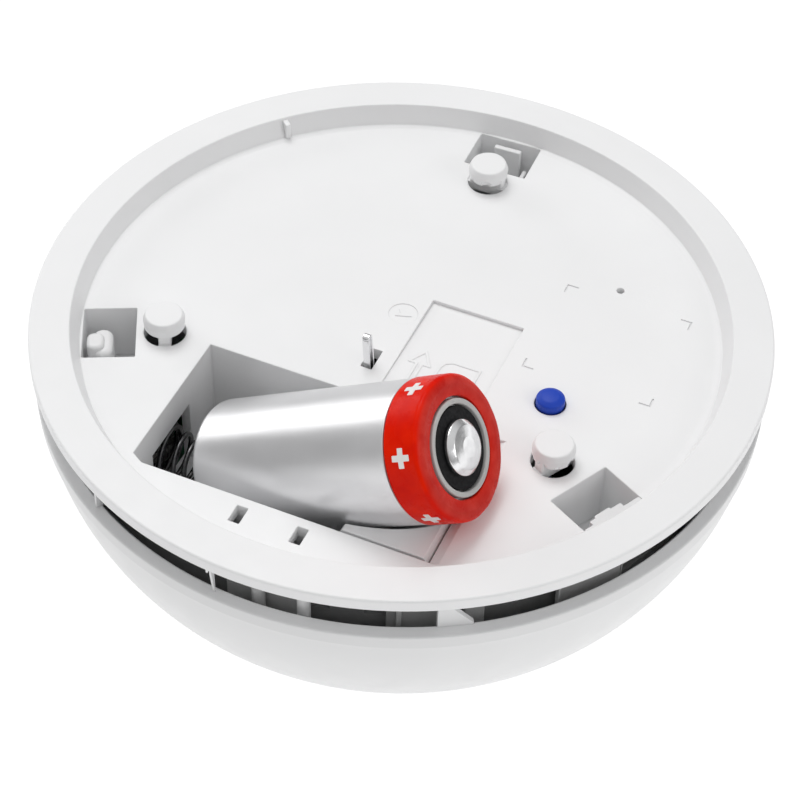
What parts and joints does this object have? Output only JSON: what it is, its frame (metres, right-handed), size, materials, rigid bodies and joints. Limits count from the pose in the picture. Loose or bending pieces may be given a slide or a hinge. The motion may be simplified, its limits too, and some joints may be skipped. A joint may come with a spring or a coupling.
{
  "type": "smoke detector",
  "caption": "Round domed battery smoke detector lying on its front, mounting side up, with an open battery bay and a lithium photo cell tipped up out of it.",
  "frame": {"origin": "centre of the flat front ring that the detector lies on, at the base of its bounding box", "axes": "+Z from the domed front to the ceiling side, +X along the battery bay towards the cell positive end, +Y away from the battery bay across the back"},
  "size_m": [0.092, 0.092, 0.0537],
  "materials": {
    "white": "fine satin moulded white plastic",
    "dark": "matt dark grey moulded plastic",
    "black": "matt black plastic",
    "grey": "satin grey seal",
    "red": "glossy translucent red shrink sleeve",
    "blue": "satin blue plastic",
    "lens": "clear to milky light guide plastic",
    "silver": "brushed silver film over the can",
    "chrome": "bright nickel plate",
    "nickel": "tarnished nickel plated spring steel",
    "steel": "bright zinc plated steel",
    "screen": "fine woven metal mesh",
    "brass": "bright rolled brass",
    "copper": "enamelled copper wire",
    "board": "green solder mask",
    "capacitor": "dark blue plastic sleeve"
  },
  "bodies": {
    "housing": {"back_cover": "white", "front_cover": "white", "smoke_baffle": "dark", "lift_spring": "steel", "positive_contact": "nickel", "negative_contact": "nickel", "negative_spring": "nickel", "light_ring": "lens", "test_button_spring": "steel", "main_board": "board", "board_screw_1": "steel", "board_screw_2": "steel", "board_screw_3": "steel", "chamber_base": "black", "chamber_cap": "black", "insect_screen": "screen", "ir_emitter": "lens", "photodiode": "black", "sounder_housing": "black", "piezo_disc": "brass", "controller_chip": "black", "radio_module": "steel", "link_switch_body": "black", "test_switch": "black", "supply_capacitor": "capacitor", "boost_inductor": "copper", "status_led": "lens", "tamper_pad": "nickel", "antenna_coil": "copper"},
    "cell": {"cell_can": "silver", "cell_collar": "red", "cell_rim_ring": "grey", "cell_insulator": "black", "cell_positive_cap": "chrome"},
    "flap": {"lift_flap": "white"},
    "link_key": {"link_button": "blue"},
    "test_key": {"test_button": "white"},
    "tamper": {"tamper_leaf": "chrome"}
  },
  "joints": [
    {"name": "cell_draw", "type": "slide", "parent": "housing", "child": "cell", "axis": [0.866, 0, 0.5], "range_m": [-0.0035, 0.03]},
    {"name": "flap_hinge", "type": "hinge", "parent": "housing", "child": "flap", "pos_m": [-0.0138, -0.0231, 0.02775], "axis": [0, -1, 0], "range_deg": [-31, 0], "stiffness_Nm_per_rad": 0.01, "springref_deg": 20.05},
    {"name": "link_press", "type": "slide", "parent": "housing", "child": "link_key", "axis": [0, 0, -1], "range_m": [0, 0.0006], "stiffness_N_per_m": 1000, "springref_m": -0.0004},
    {"name": "test_press", "type": "slide", "parent": "housing", "child": "test_key", "axis": [0, 0, 1], "range_m": [0, 0.0008], "stiffness_N_per_m": 800, "springref_m": -0.0008, "deforming": ["test_button_spring"]},
    {"name": "tamper_press", "type": "slide", "parent": "housing", "child": "tamper", "axis": [0, 0, -1], "range_m": [0, 0.003], "stiffness_N_per_m": 150, "springref_m": -0.001}
  ]
}
